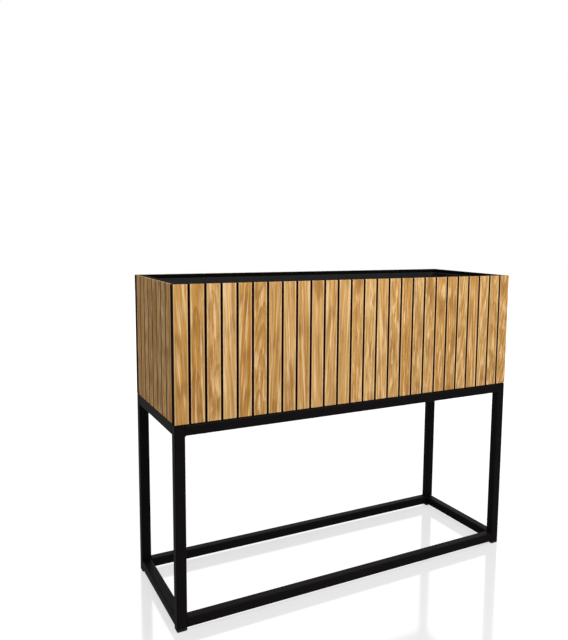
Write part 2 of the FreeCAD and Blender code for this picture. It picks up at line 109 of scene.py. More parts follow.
def linear_colour(hex_colour: str) -> Colour:
    """Turn an sRGB hex colour into linear light.

    Args:
        hex_colour: A hash sign and six hex digits.

    Returns:
        Red, green, blue and alpha in linear light.
    """
    channels = [int(hex_colour[place : place + 2], 16) / 255 for place in (1, 3, 5)]
    red, green, blue = (c / 12.92 if c <= 0.04045 else ((c + 0.055) / 1.055) ** 2.4 for c in channels)
    return (red, green, blue, 1.0)


def add_node(
    tree: NodeTree,
    kind: str,
    settings: Mapping[str, Any] | str | None = None,
    inputs: Mapping[str | int, Any] | tuple[Any, ...] | None = None,
) -> Node:
    """Add a node, set its options and fill its inputs.

    Args:
        tree: The tree that gets the node.
        kind: Blender's name for the kind of node.
        settings: The node's own options by name, or its operation alone.
        inputs: What goes into each input, by name or number, or for the first few in their order: a
            constant, a hex colour, an output, a node, which stands for its first output in use, or a
            list of those where the input takes several links.

    Returns:
        The new node.
    """
    node = tree.nodes.new(kind)
    if isinstance(settings, str):
        settings = {"operation": settings}
    if isinstance(inputs, tuple):
        inputs = dict(enumerate(inputs))
    for name, value in (settings or {}).items():
        setattr(node, name, value)
    for key, given in (inputs or {}).items():
        for value in given if isinstance(given, list) else [given]:
            if isinstance(value, str) and value.startswith("#"):
                value = linear_colour(value)
            if isinstance(value, Node):
                value = next(output for output in value.outputs if output.enabled)
            if isinstance(value, NodeSocket):
                tree.links.new(value, node.inputs[key])
            else:
                node.inputs[key].default_value = value
    return node


def grain_noise(tree: NodeTree, place: NodeSocket, size_mm: Triple, detail: float = 2.0) -> Node:
    """Add a soft noise whose blots have a real size along each axis.

    Args:
        tree: The material's tree.
        place: The output that gives the place on the piece, in metres.
        size_mm: The blots' size along X, Y and Z, in millimetres.
        detail: How many finer octaves the noise has.

    Returns:
        The noise node, whose first output runs from 0 to 1.
    """
    per_metre = tuple(1 / (size * MM) for size in size_mm)
    stretched = add_node(tree, VECTOR_MATH, "MULTIPLY", (place, per_metre))
    return add_node(tree, "ShaderNodeTexNoise", None, {
        "Vector": stretched, "Scale": 1.0, "Detail": detail,
    })


@dataclass(frozen=True)
class Finish:
    """A finish, which makes its material once and gives the same one to every piece."""

    name: str

    @cache
    def material(self) -> Material:
        """Make the finish's material, on the first call only.

        Returns:
            The material that all pieces with this finish share.
        """
        made = bpy.data.materials.new(self.name)
        made.use_nodes = True
        made.node_tree.nodes.clear()
        shader = self.paint(made.node_tree)
        add_node(made.node_tree, "ShaderNodeOutputMaterial", None, {"Surface": shader})
        return made

    def paint(self, tree: NodeTree) -> Node:
        """Build the finish's nodes.

        Args:
            tree: The empty tree of the material.

        Returns:
            The shader node.
        """
        raise NotImplementedError


@dataclass(frozen=True)
class OiledOak(Finish):
    """Oak, sawn into slats, planed and oiled.

    The eye sees warm honey tones that change from slat to slat, growth rings cut into arches or slanted
    lines, dark pore dashes along the grain and cloudy darker patches. A paler rim along the long edges is
    a painted highlight, and the side faces, which lie deep in the grooves, are drawn dark brown. The figure
    is solid: it runs through each slat, so the top ends show end grain.
    """

    name: str = "oiled_planed_oak"
    pale: str = "#BF9860"
    warm: str = "#AE8042"
    ring_line: str = "#865C2B"
    pale_streak: str = "#DDBC8C"
    pore: str = "#6F451E"
    patch: str = "#8C612F"
    # Painted highlight: the paler rim along the long edges stands in for the light that their rounding
    # catches.
    painted_edge_highlight: str = "#DFC297"
    # The side faces of the slats, deep in the grooves, are drawn dark brown.
    groove_side_brown: str = "#3D1809"
    # Rings of slow oak are about 2 mm wide and its pores 0.3 mm. Both are drawn coarser so that they show.
    ring_mm: float = 5.0
    pore_mm: Triple = (1.5, 1.5, 45.0)
    streak_mm: Triple = (4.5, 4.5, 150.0)
    patch_mm: Triple = (30.0, 30.0, 70.0)
    bend_mm: Triple = (45.0, 45.0, 300.0)
    bend_reach_mm: float = 12.0
    wobble_mm: Triple = (6.0, 6.0, 120.0)
    wobble_reach_mm: float = 1.8
    # The ring lines' strength in the calmest and the boldest slat, and the share of a ring before its line.
    ring_strength: tuple[float, float] = (0.2, 0.65)
    ring_start: float = 0.2
    roughness: float = 0.6
    rough_range: float = 0.2
    specular: float = 0.03
    pore_depth_mm: float = 0.12
    bump: float = 0.5

    def paint(self, tree: NodeTree) -> Node:
        """Build rings, streaks, patches, pores and edges.

        Args:
            tree: The empty tree of the material.

        Returns:
            The shader node.
        """
        node = partial(add_node, tree)
        log, place, mood = (
            node("ShaderNodeAttribute", {"attribute_name": name}).outputs["Vector"]
            for name in (LOG_PLACE, SLAT_PLACE, SLAT_MOOD)
        )
        across = node("ShaderNodeSeparateXYZ", None, {0: place}).outputs["X"]
        mood_xyz = node("ShaderNodeSeparateXYZ", None, {0: mood})

        # Growth rings: distance from the pith, bent by two noises, cut into bands that darken outwards.
        bent = node(VECTOR_MATH, "MULTIPLY", (log, (1.0, 1.0, 0.0)))
        for size, reach in ((self.bend_mm, self.bend_reach_mm), (self.wobble_mm, self.wobble_reach_mm)):
            bent = node(VECTOR_MATH, "MULTIPLY_ADD", (
                grain_noise(tree, log, size).outputs["Color"], (reach * MM, reach * MM, 0.0), bent,
            ))
        radius = node(VECTOR_MATH, "LENGTH", {0: bent})
        rings = node(MATH, "DIVIDE", (radius, self.ring_mm * MM))
        band = node(MATH, "FRACT", {0: rings})
        calm, bold = self.ring_strength
        ring_strength = node("ShaderNodeMapRange", None, {
            "Value": mood_xyz.outputs["Y"], "To Min": calm, "To Max": bold,
        })
        ring = node("ShaderNodeMapRange", SMOOTHSTEP, {
            "Value": band, "From Min": self.ring_start, "To Max": ring_strength,
        })

        # Soft layers of colour: what drives each, where it starts, where it is full, its most and its tint.
        streaks = grain_noise(tree, log, self.streak_mm, detail=3.0)
        sideways = node(MATH, "ABSOLUTE", {0: across})
        patch_noise = grain_noise(tree, log, self.patch_mm)
        pore_noise = grain_noise(tree, log, self.pore_mm)
        layers = (
            (patch_noise, 0.50, 0.70, 0.70, self.patch),
            (streaks, 0.50, 0.70, 0.55, self.ring_line),
            (streaks, 0.48, 0.32, 0.65, self.pale_streak),
            (pore_noise, 0.54, 0.78, 0.55, self.pore),
            # Painted highlight along the long edges, where their rounding would catch the light.
            (sideways, 0.76, 0.92, 0.40, self.painted_edge_highlight),
            # The side faces, deep in the grooves, drawn dark brown.
            (sideways, 0.945, 0.980, 1.0, self.groove_side_brown),
        )
        colour = node("ShaderNodeMix", RGBA, {
            MIX_FACTOR: mood_xyz.outputs["X"], MIX_A: self.pale, MIX_B: self.warm,
        })
        colour = node("ShaderNodeMix", RGBA, {MIX_FACTOR: ring, MIX_A: colour, MIX_B: self.ring_line})
        for value, none_at, full_at, most, hex_colour in layers:
            layer = node("ShaderNodeMapRange", SMOOTHSTEP, {
                "Value": value, "From Min": none_at, "From Max": full_at, "To Max": most,
            })
            colour = node("ShaderNodeMix", RGBA, {MIX_FACTOR: layer, MIX_A: colour, MIX_B: hex_colour})

        rough = node(MATH, "MULTIPLY_ADD", (
            pore_noise, self.rough_range, self.roughness - self.rough_range / 2,
        ))
        hollow = node(MATH, "ADD", (pore_noise, ring))
        bump = node("ShaderNodeBump", {"invert": True}, {
            "Strength": self.bump, "Distance": self.pore_depth_mm * MM, "Height": hollow,
        })
        return node("ShaderNodeBsdfPrincipled", None, {
            "Base Color": colour, "Roughness": rough, "Specular IOR Level": self.specular, "Normal": bump,
        })


@dataclass(frozen=True)
class BlackFinish(Finish):
    """A black finish with a fine relief and a slow drift of tone.

    Attributes:
        black: The darkest tone.
        pale: The palest tone.
        drift_mm: The size of the drift's blots.
        drift_detail: How many finer octaves the drift has.
        roughness: The middle roughness.
        rough_range: How far the drift moves the roughness.
        specular: The strength of the gloss.
        relief_depth_mm: The depth of the relief.
        bump: How strongly the relief bends the light.
        relief_tints: Whether the relief shows in the tone too.
    """

    black: str
    pale: str
    drift_mm: Triple
    drift_detail: float
    roughness: float
    rough_range: float
    specular: float
    relief_depth_mm: float
    bump: float
    relief_tints: bool

    def relief(self, tree: NodeTree, place: NodeSocket) -> Node:
        """Build the finish's relief.

        Args:
            tree: The tree of the material.
            place: The output that gives the place on the piece, in metres.

        Returns:
            The node whose first output is the height.
        """
        raise NotImplementedError

    def paint(self, tree: NodeTree) -> Node:
        """Build the relief and the drift.

        Args:
            tree: The empty tree of the material.

        Returns:
            The shader node.
        """
        node = partial(add_node, tree)
        place = node("ShaderNodeTexCoord").outputs["Object"]
        relief = self.relief(tree, place)
        drift = grain_noise(tree, place, self.drift_mm, self.drift_detail)
        tone = node(MATH, "MULTIPLY", (relief, drift)) if self.relief_tints else drift
        colour = node("ShaderNodeMix", RGBA, {MIX_FACTOR: tone, MIX_A: self.black, MIX_B: self.pale})
        rough = node(MATH, "MULTIPLY_ADD", (
            drift, self.rough_range, self.roughness - self.rough_range / 2,
        ))
        depth = self.relief_depth_mm * MM
        bump = node("ShaderNodeBump", None, {"Strength": self.bump, "Distance": depth, "Height": relief})
        gloss = {"Roughness": rough, "Specular IOR Level": self.specular}
        return node("ShaderNodeBsdfPrincipled", None, {"Base Color": colour, **gloss, "Normal": bump})


@dataclass(frozen=True)
class PowderCoat(BlackFinish):
    """Steel with a fine-texture black powder coat, baked on after welding.

    The eye sees a soft satin black with a fine grain, which blurs every reflection and lightens only along
    the rounded edges.
    """

    name: str = "fine_texture_powder_coat"
    black: str = "#0C090B"
    pale: str = "#171416"
    drift_mm: Triple = (40.0, 40.0, 40.0)
    drift_detail: float = 3.0
    roughness: float = 0.42
    rough_range: float = 0.14
    specular: float = 0.04
    relief_depth_mm: float = 0.05
    bump: float = 0.4
    relief_tints: bool = True
    # The grain of the coat is about 0.3 mm. It is drawn coarser so that it shows.
    grain_mm: float = 1.1

    def relief(self, tree: NodeTree, place: NodeSocket) -> Node:
        """Build the grain of the coat, with one finer octave."""
        return grain_noise(tree, place, (self.grain_mm,) * 3, detail=1.0)


@dataclass(frozen=True)
class DyedBoard(BlackFinish):
    """Fibreboard, dyed black right through, sawn and sanded.

    The eye sees a dull, nearly lightless black with short fibres a little paler than the rest.
    """

    name: str = "black_dyed_fibreboard"
    black: str = "#070605"
    pale: str = "#191512"
    drift_mm: Triple = (30.0, 30.0, 30.0)
    drift_detail: float = 3.0
    roughness: float = 0.825
    rough_range: float = 0.15
    specular: float = 0.03
    relief_depth_mm: float = 0.08
    bump: float = 0.5
    relief_tints: bool = True
    # Fibres are under 0.2 mm wide. They are drawn coarser so that they show.
    fibre_mm: Triple = (3.0, 3.0, 1.2)
    fibre_rise: tuple[float, float] = (0.5, 0.8)

    def relief(self, tree: NodeTree, place: NodeSocket) -> Node:
        """Build the fibres, which stand out where their noise is high.

        Args:
            tree: The tree of the material.
            place: The output that gives the place on the piece, in metres.

        Returns:
            The node whose first output is the height.
        """
        noise = grain_noise(tree, place, self.fibre_mm)
        foot, crest = self.fibre_rise
        rise = {"Value": noise, "From Min": foot, "From Max": crest}
        return add_node(tree, "ShaderNodeMapRange", SMOOTHSTEP, rise)


@dataclass(frozen=True)
class MouldedPlastic(BlackFinish):
    """Black plastic, moulded in a tool with a fine spark-eroded skin.

    The eye sees an even matt black with a fine leathery grain and faint flow marks.
    """

    black: str = "#0F0F11"
    pale: str = "#19191C"
    drift_mm: Triple = (60.0, 60.0, 180.0)
    drift_detail: float = 4.0
    roughness: float = 0.5
    rough_range: float = 0.16
    specular: float = 0.2
    relief_depth_mm: float = 0.05
    bump: float = 0.4
    relief_tints: bool = False
    # The skin's grain is about 0.2 mm. It is drawn coarser so that it shows.
    grain_mm: float = 1.4

    def relief(self, tree: NodeTree, place: NodeSocket) -> Node:
        """Build the cells of the moulded skin."""
        cells = {"Vector": place, "Scale": 1 / (self.grain_mm * MM)}
        return add_node(tree, "ShaderNodeTexVoronoi", {"feature": "SMOOTH_F1"}, cells)


@dataclass(frozen=True)
class ZincPlate(Finish):
    """Steel, zinc-plated and blue-passivated, as on wood screws.

    The eye sees a bright cool metal with cloudy tone and fine tumbling scratches.
    """

    name: str = "blue_passivated_zinc"
    bright: str = "#C3C7CC"
    cloudy: str = "#8F959C"
    cloud_mm: float = 2.5
    scratch_mm: Triple = (0.25, 0.25, 3.0)
    roughness: float = 0.325
    rough_range: float = 0.25

    def paint(self, tree: NodeTree) -> Node:
        """Build the cloudy plating and its scratches.

        Args:
            tree: The empty tree of the material.

        Returns:
            The shader node.
        """
        node = partial(add_node, tree)
        place = node("ShaderNodeTexCoord").outputs["Object"]
        cloud = grain_noise(tree, place, (self.cloud_mm,) * 3, detail=3.0)
        scratch = grain_noise(tree, place, self.scratch_mm)
        colour = node("ShaderNodeMix", RGBA, {MIX_FACTOR: cloud, MIX_A: self.bright, MIX_B: self.cloudy})
        rough = node(MATH, "MULTIPLY_ADD", (
            scratch, self.rough_range, self.roughness - self.rough_range / 2,
        ))
        return node("ShaderNodeBsdfPrincipled", None, {
            "Base Color": colour, "Roughness": rough, "Metallic": 1.0,
        })


@dataclass(frozen=True)
class LitAcrylic(Finish):
    """White acrylic sheet, polished and lit from below, as on a studio's light table.

    The eye sees plain white that mirrors faintly whatever stands on it. The lamps stand closer towards the
    rim, so that the sheet fades into the white behind it.
    """

    name: str = "lit_white_acrylic"
    white: str = "#6E6E70"
    shade: str = "#6A6A6C"
    cloud_mm: float = 600.0
    roughness: float = 0.1
    specular: float = 1.0
    index: float = 2.2
    glow: float = 0.70
    rim_glow: float = 0.90
    glow_mm: tuple[float, float] = (700.0, 2200.0)
    mirrored_glow: float = 0.0

    def paint(self, tree: NodeTree) -> Node:
        """Build the white sheet.

        Args:
            tree: The empty tree of the material.

        Returns:
            The shader node.
        """
        node = partial(add_node, tree)
        place = node("ShaderNodeTexCoord").outputs["Object"]
        cloud = grain_noise(tree, place, (self.cloud_mm,) * 3)
        colour = node("ShaderNodeMix", RGBA, {MIX_FACTOR: cloud, MIX_A: self.white, MIX_B: self.shade})
        lamps = node("ShaderNodeMapRange", SMOOTHSTEP, {
            "Value": node(VECTOR_MATH, "LENGTH", {0: place}), "From Min": self.glow_mm[0] * MM,
            "From Max": self.glow_mm[1] * MM, "To Min": self.glow, "To Max": self.rim_glow,
        })
        # Mirror images don't show the lamps, which keeps the gloss on the black pieces dark.
        strength = node("ShaderNodeMapRange", None, {
            "Value": node("ShaderNodeLightPath").outputs["Is Glossy Ray"], "To Min": lamps,
            "To Max": self.mirrored_glow,
        })
        return node("ShaderNodeBsdfPrincipled", None, {
            "Base Color": colour, "Roughness": self.roughness, "Specular IOR Level": self.specular,
            "IOR": self.index, "Emission Color": "#FFFFFF", "Emission Strength": strength,
        })


OAK = OiledOak()
STEEL = PowderCoat()
BOARD = DyedBoard()
ZINC = ZincPlate()
LINER_PLASTIC = MouldedPlastic("moulded_polypropylene")
GLIDE_PLASTIC = MouldedPlastic("moulded_polyethylene", black="#0E0E0F", pale="#17171A", grain_mm=1.0)


def link_object(name: str, data: ID) -> Object:
    """Make an object and link it to the scene.

    Args:
        name: The object's name.
        data: Its mesh, light or camera.

    Returns:
        The object.
    """
    made = bpy.data.objects.new(name, data)
    bpy.context.scene.collection.objects.link(made)
    return made


class Recipe:
    """A Geometry Nodes tree with named inputs, run once for each mesh that it makes.

    Attributes:
        sharp_from: The bend over an edge, in radians, from which it is shaded sharp.
        tree: The tree.
        given: The outputs that hold the named inputs.
    """

    sharp_from: float = math.radians(35.0)

    def __init__(self, name: str, inputs: Mapping[str, str]) -> None:
        """Start the tree.

        Args:
            name: The tree's name.
            inputs: The kind of each named input. A Finish input is added to them.
        """
        self.tree = bpy.data.node_groups.new(name, "GeometryNodeTree")
        for label, kind in {**inputs, "Finish": "NodeSocketMaterial"}.items():
            self.tree.interface.new_socket(label, in_out="INPUT", socket_type=kind)
        self.tree.interface.new_socket("Geometry", in_out="OUTPUT", socket_type="NodeSocketGeometry")
        self.given = add_node(self.tree, "NodeGroupInput").outputs

    def close(self, geometry: Node) -> None:
        """End the tree: real geometry, smooth but for its creases, in its finish.

        Args:
            geometry: The node whose geometry is the piece.
        """
        node = partial(add_node, self.tree)
        smooth = node("GeometryNodeSetShadeSmooth", None, {"Geometry": geometry})
        bend = node("GeometryNodeInputMeshEdgeAngle").outputs["Unsigned Angle"]
        gentle = node("FunctionNodeCompare", "LESS_THAN", (bend, self.sharp_from))
        creased = node("GeometryNodeSetShadeSmooth", {"domain": "EDGE"}, {
            "Geometry": smooth, "Shade Smooth": gentle,
        })
        whole = node("GeometryNodeRealizeInstances", None, {"Geometry": creased})
        dressed = node("GeometryNodeSetMaterial", None, {
            "Geometry": whole, "Material": self.given["Finish"],
        })
        node("NodeGroupOutput", None, {"Geometry": dressed})

    def make(
        self, name: str, finish: Finish, values: Mapping[str, Any], start: Mesh | None = None
    ) -> Object:
        """Run the tree and keep its result as a plain mesh.

        Args:
            name: The new piece's name.
            finish: The piece's finish.
            values: A value for each named input.
            start: The mesh that the tree starts from, if it reads one.

        Returns:
            The piece, at the origin, with its place in its mesh.
        """
        carrier = link_object(name + "_carrier", start or bpy.data.meshes.new(name + "_start"))
        modifier = carrier.modifiers.new("Recipe", "NODES")
        modifier.node_group = self.tree
        filled = {**values, "Finish": finish.material()}
        for item in self.tree.interface.items_tree:
            if item.in_out == "INPUT" and item.name in filled:
                modifier[item.identifier] = filled[item.name]
        depsgraph = bpy.context.evaluated_depsgraph_get()
        mesh = bpy.data.meshes.new_from_object(carrier.evaluated_get(depsgraph), depsgraph=depsgraph)
        carrier.modifiers.remove(modifier)
        bpy.data.objects.remove(carrier)
        mesh.name = name
        return link_object(name, mesh)


def add_piece(piece: Object, body: str, replaced: Iterable[str]) -> None:
    """Join a new piece to the frame and log it.

    Args:
        piece: The finished piece.
        body: The CAD body that it moves with.
        replaced: The CAD nodes that it stands for.
    """
    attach(piece, body)
    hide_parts(*replaced)
    triangles = sum(len(face.vertices) - 2 for face in piece.data.polygons)
    LOG.info("%s: %d triangles on body %s", piece.name, triangles, body)


def dress_nodes(nodes: Nodes, names: Iterable[str], finish: Finish) -> None:
    """Give CAD nodes that keep their shape their finish, and log them.

    Args:
        nodes: The frame's CAD nodes by name.
        names: The nodes to dress.
        finish: Their finish.
    """
    for name in names:
        for slot in nodes[name].material_slots:
            slot.material = finish.material()
        LOG.info("%s: CAD node in %s", name, finish.name)


@dataclass(frozen=True)
class LooseSolid:
    """One of the solids that a CAD node holds.

    Attributes:
        corners: The points of its mesh.
        low: The lowest corner of its box.
        high: The highest corner of its box.
    """

    corners: list[Vector]
    low: Vector
    high: Vector

    @classmethod
    def split(cls, node: Object) -> list[LooseSolid]:
        """Split a CAD node into its solids.

        Args:
            node: The CAD node, which is left as it is.

        Returns:
            The solids, in the order of the mesh.
        """
        copy = bmesh.new()
        copy.from_mesh(node.data)
        bmesh.ops.remove_doubles(copy, verts=copy.verts, dist=0.001 * MM)
        seen: set[bmesh.types.BMVert] = set()
        solids = []
        for first in copy.verts:
            if first in seen:
                continue
            joined = [first]
            seen.add(first)
            for corner in joined:
                new = [edge.other_vert(corner) for edge in corner.link_edges]
                new = [other for other in new if other not in seen]
                seen.update(new)
                joined.extend(new)
            corners = [corner.co.copy() for corner in joined]
            solids.append(cls(corners, Vector(map(min, *corners)), Vector(map(max, *corners))))
        copy.free()
        return solids

    def line(self, through: Vector) -> tuple[Vector, Vector]:
        """Give the line that runs the long way of the solid.

        Args:
            through: A point on the line.

        Returns:
            The line's low end and its high end.
        """
        size = self.high - self.low
        axis = max(range(3), key=lambda number: size[number])
        first, last = through.copy(), through.copy()
        first[axis] = self.low[axis]
        last[axis] = self.high[axis]
        return first, last


@dataclass
class WeldBeads:
    """The fillet welds in the stand's inner corners, each a rippled bead.

    Attributes:
        node: The CAD node that holds the welds.
        bead_radius: The bead's radius at its fullest.
        ripple_pitch: The length of a ripple along the bead.
        ripple_depth: The share of the radius that is lost between two ripples.
    """

    node: str = "weld_beads"
    bead_radius: float = 1.6 * MM
    ripple_pitch: float = 1.7 * MM
    ripple_depth: float = 0.18

    @staticmethod
    def recipe() -> Recipe:
        """Build the tree that lays a bead along each edge of a mesh.

        Returns:
            The recipe.
        """
        sizes = ("Bead Radius", "Ripple Pitch", "Ripple Depth")
        floats = dict.fromkeys(sizes, "NodeSocketFloat")
        recipe = Recipe("weld_beads", {"Lines": "NodeSocketGeometry", **floats})
        given = recipe.given
        node = partial(add_node, recipe.tree)

        # The bead's points lie this share of a ripple apart, and this many go round it.
        point_step = 0.2
        round_points = 10
        # How suddenly an end comes, and the share of the girth that it loses.
        end_power = 8.0
        end_loss = 0.7

        lines = node("GeometryNodeMeshToCurve", None, {"Mesh": given["Lines"]})
        spacing = node(MATH, "MULTIPLY", (given["Ripple Pitch"], point_step))
        run = node("GeometryNodeResampleCurve", {"mode": "LENGTH"}, {"Curve": lines, "Length": spacing})
        along = node("GeometryNodeSplineParameter").outputs

        # Between two ripples the bead is thinner, and it dies away at both ends.
        ripples = node(MATH, "DIVIDE", (along["Length"], given["Ripple Pitch"]))
        phase = node(MATH, "MULTIPLY", (ripples, math.pi))
        wave = node(MATH, "SINE", {0: phase})
        crest = node(MATH, "ABSOLUTE", {0: wave})
        trough = node(MATH, "SUBTRACT", (1.0, given["Ripple Depth"]))
        swell = node(MATH, "MULTIPLY_ADD", (crest, given["Ripple Depth"], trough))
        place = node(MATH, "MULTIPLY_ADD", (along["Factor"], 2.0, -1.0))
        from_middle = node(MATH, "ABSOLUTE", {0: place})
        ending = node(MATH, "POWER", (from_middle, end_power))
        taper = node(MATH, "MULTIPLY_ADD", (ending, -end_loss, 1.0))
        girth = node(MATH, "MULTIPLY", (swell, taper))

        round_bead = {"Resolution": round_points, "Radius": given["Bead Radius"]}
        ring = node("GeometryNodeCurvePrimitiveCircle", None, round_bead)
        beads = node("GeometryNodeCurveToMesh", None, {
            "Curve": run, "Profile Curve": ring, "Scale": girth, "Fill Caps": True,
        })
        recipe.close(beads)
        return recipe

    def build(self, nodes: Nodes) -> None:
        """Lay a bead through the middle of each weld of the CAD node.

        Args:
            nodes: The frame's CAD nodes by name.
        """
        points: list[Vector] = []
        for weld in LooseSolid.split(nodes[self.node]):
            points += weld.line(sum(weld.corners, Vector()) / len(weld.corners))
        lines = bpy.data.meshes.new("weld_lines")
        lines.from_pydata(points, [(first, first + 1) for first in range(0, len(points), 2)], [])
        values = {
            "Bead Radius": self.bead_radius,
            "Ripple Pitch": self.ripple_pitch,
            "Ripple Depth": self.ripple_depth,
        }
        piece = self.recipe().make("rippled_weld_beads", STEEL, values, lines)
        add_piece(piece, "stand", [self.node])


class ScrewHead(Enum):
    """The shape of a screw's head: whether it is countersunk."""

    PAN = False
    COUNTERSUNK = True


@dataclass
class ScrewSet:
    """Cross-recessed wood screws of one kind, made where a CAD node holds them.

    Attributes:
        node: The CAD node.
        head: The shape of the head.
        head_radius: The head's radius.
        head_height: The head's height.
        shank_radius: The radius over the thread.
        thread_pitch: The rise of the thread in one turn.
    """

    node: str
    head: ScrewHead
    head_radius: float
    head_height: float
    shank_radius: float
    thread_pitch: float

    @staticmethod
    def recipe() -> Recipe:
        """Build the tree that sets a screw on each point of a mesh.

        Returns:
            The recipe, whose screws have the head's outer face on the point.
        """
        lengths = ("Length", "Head Radius", "Head Height", "Shank Radius", "Thread Pitch")
        recipe = Recipe("wood_screws", {
            "Heads": "NodeSocketGeometry", **dict.fromkeys(lengths, "NodeSocketFloat"),
            "Countersunk": "NodeSocketBool",
        })
        given = recipe.given
        node = partial(add_node, recipe.tree)

        # Points round the head, the core, a turn of the thread and its ridge, and rings up the dome.
        head_points = 24
        dome_rings = 12
        core_points = 12
        turn_points = 12
        ridge_points = 3
        # Shares of the shank's radius, and of the head's size for the recess.
        core_share = 0.7
        tip_share = 2.0
        ridge_share = 0.3
        recess_share = (1.1, 0.3, 1.2)
        # Corners of a cut head that lie closer than this are one.
        same_corner = 0.002 * MM

        # Heights, from the head's outer face down.
        core_radius = node(MATH, "MULTIPLY", (given["Shank Radius"], core_share))
        tip_length = node(MATH, "MULTIPLY", (given["Shank Radius"], tip_share))
        under_head = node(MATH, "SUBTRACT", (given["Length"], given["Head Height"]))
        core_length = node(MATH, "SUBTRACT", (under_head, tip_length))
        below_head = node(MATH, "MULTIPLY", (given["Head Height"], -1.0))
        tip_z = node(MATH, "MULTIPLY", (given["Length"], -1.0))
        core_z = node(MATH, "ADD", (tip_z, tip_length))
        underside, tip_end, core_end = (
            node("ShaderNodeCombineXYZ", None, {2: height}) for height in (below_head, tip_z, core_z)
        )

        # The countersunk head, the core and the tip are cones, each on its lower end.
        cones = []
        for points, top, bottom, depth, foot in (
            (head_points, given["Head Radius"], given["Shank Radius"], given["Head Height"], underside),
            (core_points, core_radius, core_radius, core_length, core_end),
            (core_points, core_radius, 0.0, tip_length, tip_end),
        ):
            sides = {"Vertices": points, "Radius Top": top, "Radius Bottom": bottom, "Depth": depth}
            cone = node("GeometryNodeMeshCone", None, sides)
            cones.append(node("GeometryNodeTransform", None, {"Geometry": cone, "Translation": foot}))
        sunk_head, core, tip = cones

        # The pan head is a ball squashed to a dome with a flat underside.
        ball = node("GeometryNodeMeshUVSphere", None, {
            "Segments": head_points, "Rings": dome_rings, "Radius": 1.0,
        })
        on_ball = node("ShaderNodeSeparateXYZ", None, {0: node("GeometryNodeInputPosition")}).outputs
        upper = node(MATH, "MAXIMUM", (on_ball["Z"], 0.0))
        rise = node(MATH, "SQRT", {0: upper})
        on_dome = node("ShaderNodeCombineXYZ", None, (on_ball["X"], on_ball["Y"], rise))
        dome = node("GeometryNodeSetPosition", None, {"Geometry": ball, "Position": on_dome})
        dome_size = node("ShaderNodeCombineXYZ", None, (
            given["Head Radius"], given["Head Radius"], given["Head Height"],
        ))
        pan_head = node("GeometryNodeTransform", None, {
            "Geometry": dome, "Translation": underside, "Scale": dome_size,
        })
        head = node("GeometryNodeSwitch", {"input_type": "GEOMETRY"}, {
            "Switch": given["Countersunk"], "False": pan_head, "True": sunk_head,
        })

        # The cross recess: two bars, cut out of the head.
        bar_size = node(VECTOR_MATH, "MULTIPLY", (dome_size, recess_share))
        bar = node("GeometryNodeMeshCube", None, {"Size": bar_size})
        cross_bar = node("GeometryNodeTransform", None, {
            "Geometry": bar, "Rotation": (0.0, 0.0, math.pi / 2),
        })
        cut_head = node("GeometryNodeMeshBoolean", {"operation": "DIFFERENCE", "solver": "EXACT"}, {
            "Mesh 1": head, "Mesh 2": [bar, cross_bar],
        })
        clean_head = node("GeometryNodeMergeByDistance", None, {
            "Geometry": cut_head, "Distance": same_corner,
        })

        # The thread is a ridge wound round the core.
        turns = node(MATH, "DIVIDE", (core_length, given["Thread Pitch"]))
        radii = {"Start Radius": core_radius, "End Radius": core_radius}
        winding = {"Resolution": turn_points, "Rotations": turns, **radii, "Height": core_length}
        helix = node("GeometryNodeCurveSpiral", None, winding)
        crest = node(MATH, "MULTIPLY", (given["Shank Radius"], ridge_share))
        ridge = node("GeometryNodeCurvePrimitiveCircle", None, {
            "Resolution": ridge_points, "Radius": crest,
        })
        wound = node("GeometryNodeCurveToMesh", None, {
            "Curve": helix, "Profile Curve": ridge, "Fill Caps": True,
        })
        thread = node("GeometryNodeTransform", None, {"Geometry": wound, "Translation": core_end})
        screw = node("GeometryNodeJoinGeometry", None, {"Geometry": [clean_head, core, tip, thread]})

        tip_way = node("GeometryNodeInputNamedAttribute", VECTORS, {"Name": TIP_WAY})
        outward = node(VECTOR_MATH, "SCALE", {0: tip_way, "Scale": -1.0})
        turn = node("FunctionNodeAlignRotationToVector", {"axis": "Z"}, {"Vector": outward})
        screws = node("GeometryNodeInstanceOnPoints", None, {
            "Points": given["Heads"], "Instance": screw, "Rotation": turn,
        })
        recipe.close(screws)
        return recipe

    def build(self, recipe: Recipe, nodes: Nodes) -> None:
        """Set a screw where each one of the CAD node is.

        Args:
            recipe: The tree that makes the screws.
            nodes: The frame's CAD nodes by name.
        """
        heads: list[Vector] = []
        tips: list[Vector] = []
        for solid in LooseSolid.split(nodes[self.node]):
            ends = solid.line((solid.low + solid.high) / 2)
            way = (ends[1] - ends[0]).normalized()
            rim = max(solid.corners, key=lambda corner: (corner - ends[0]).cross(way).length)
            head, tip = sorted(ends, key=lambda end: (end - rim).length)
            heads.append(head)
            tips.append(tip)
        start = bpy.data.meshes.new(self.node + "_heads")
        start.from_pydata(heads, [], [])
        ways = start.attributes.new(TIP_WAY, "FLOAT_VECTOR", "POINT")
        for place, head, tip in zip(ways.data, heads, tips):
            place.vector = (tip - head).normalized()
        values = {
            "Length": (tips[0] - heads[0]).length,
            "Head Radius": self.head_radius,
            "Head Height": self.head_height,
            "Shank Radius": self.shank_radius,
            "Thread Pitch": self.thread_pitch,
            "Countersunk": self.head.value,
        }
        piece = recipe.make("threaded_" + self.node, ZINC, values, start)
        add_piece(piece, "stand", [self.node])


class BoxFace(Enum):
    """A side of the box, with the turn about Z, in degrees, that brings a front row of slats to it."""

    FRONT = 0.0
    RIGHT = 90.0
    BACK = 180.0
    LEFT = -90.0


